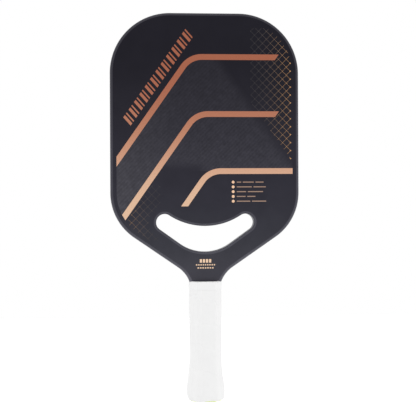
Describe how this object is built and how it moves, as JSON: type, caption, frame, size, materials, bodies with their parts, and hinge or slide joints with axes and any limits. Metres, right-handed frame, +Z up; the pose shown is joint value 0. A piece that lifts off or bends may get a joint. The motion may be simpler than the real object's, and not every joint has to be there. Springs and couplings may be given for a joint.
{
  "type": "pickleball paddle",
  "caption": "Open-throat pickleball paddle: flat laminated carbon blade with rounded edges, a curved opening above the neck, and a flared octagonal wrapped handle.",
  "frame": {"origin": "on the centre line at the lowest point of the butt end", "axes": "+Z up the handle to the tip of the blade, +X across the blade, front face looking along -Y"},
  "size_m": [0.1978, 0.0358, 0.4064],
  "materials": {
    "carbon_weave": "satin epoxy over 3K twill carbon",
    "moulded_carbon": "satin moulded carbon",
    "glass_laminate": "matte glass and epoxy",
    "polyester_veil": "matte non-woven",
    "honeycomb_polymer": "natural polypropylene",
    "edge_foam": "matte closed-cell foam",
    "handle_foam": "matte rigid foam",
    "pallet_polymer": "matte moulded",
    "cap_plastic": "satin moulded",
    "medallion_plastic": "gloss moulded",
    "staple_wire": "galvanised",
    "adhesive_film": "matte film",
    "grip_polyurethane": "smooth cushioned polyurethane",
    "finishing_vinyl": "satin vinyl tape"
  },
  "bodies": {
    "root": {"front_face_ply": "carbon_weave", "back_face_ply": "carbon_weave", "edge_wall": "moulded_carbon", "throat_wall": "moulded_carbon", "front_glass_ply": "glass_laminate", "back_glass_ply": "glass_laminate", "front_core_scrim": "polyester_veil", "back_core_scrim": "polyester_veil", "honeycomb_core": "honeycomb_polymer", "perimeter_foam": "edge_foam", "throat_foam": "edge_foam", "handle_core": "handle_foam", "front_handle_pallet": "pallet_polymer", "back_handle_pallet": "pallet_polymer", "butt_cap": "cap_plastic", "butt_cap_medallion": "medallion_plastic", "butt_cap_staples": "staple_wire", "grip_adhesive_strips": "adhesive_film", "cushion_grip": "grip_polyurethane", "finishing_tape": "finishing_vinyl"}
  },
  "joints": []
}
